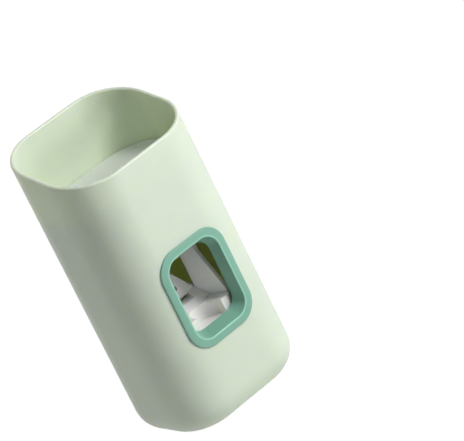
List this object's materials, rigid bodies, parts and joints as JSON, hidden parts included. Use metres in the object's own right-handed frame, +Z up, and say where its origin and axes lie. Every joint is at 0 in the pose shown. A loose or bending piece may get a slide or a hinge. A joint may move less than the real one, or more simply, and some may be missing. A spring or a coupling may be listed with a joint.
{
  "type": "toothpaste dispenser",
  "caption": "Slant-topped casing that takes a tube neck down and doses paste on a brush pushed into its framed window.",
  "frame": {"origin": "middle of the casing's flat base", "axes": "+Z up, the brush window faces -Y, the wall plate faces +Y, width along X"},
  "size_m": [0.078, 0.0648, 0.1547],
  "materials": {
    "casing_mint": "fine satin moulded plastic",
    "frame_teal": "satin moulded plastic",
    "plate_grey": "moulded plastic",
    "foam_tape": "closed-cell foam tape",
    "deck_pale": "satin moulded plastic",
    "white_plastic": "white moulded plastic",
    "silicone": "milky silicone rubber",
    "rubber_dark": "soft rubber",
    "acetal": "natural acetal",
    "steel": "stainless steel"
  },
  "bodies": {
    "shell": {"outer_shell": "casing_mint", "window_frame": "frame_teal"},
    "wall_mount": {"wall_plate": "plate_grey", "adhesive_pad": "foam_tape"},
    "pump_module": {"deck": "deck_pale", "neck_seal": "silicone", "pump_housing": "white_plastic", "housing_screws": "steel", "inlet_valve": "silicone", "pump_diaphragm": "silicone", "diaphragm_ring": "white_plastic", "return_spring": "steel", "cover_gasket": "rubber_dark", "chamber_cover": "white_plastic", "cover_screws": "steel", "outlet_nozzle": "silicone", "nozzle_collar": "white_plastic", "pivot_pin": "steel", "pin_clips": "steel"},
    "lever": {"push_lever": "white_plastic", "brush_cradle": "white_plastic", "cradle_screws": "steel", "presser_pad": "rubber_dark", "pivot_bushes": "acetal"}
  },
  "joints": [
    {"name": "pump_lift", "type": "slide", "parent": "shell", "child": "pump_module", "axis": [0, 0, 1], "range_m": [0, 0.12]},
    {"name": "lever_push", "type": "hinge", "parent": "pump_module", "child": "lever", "pos_m": [0, -0.013, 0.111], "axis": [1, 0, 0], "range_deg": [0, 16], "stiffness_Nm_per_rad": 1, "springref_deg": -8.59, "deforming": ["pump_diaphragm", "return_spring"]},
    {"name": "plate_unhook", "type": "slide", "parent": "shell", "child": "wall_mount", "axis": [0, 0, -1], "range_m": [0, 0.006]}
  ]
}
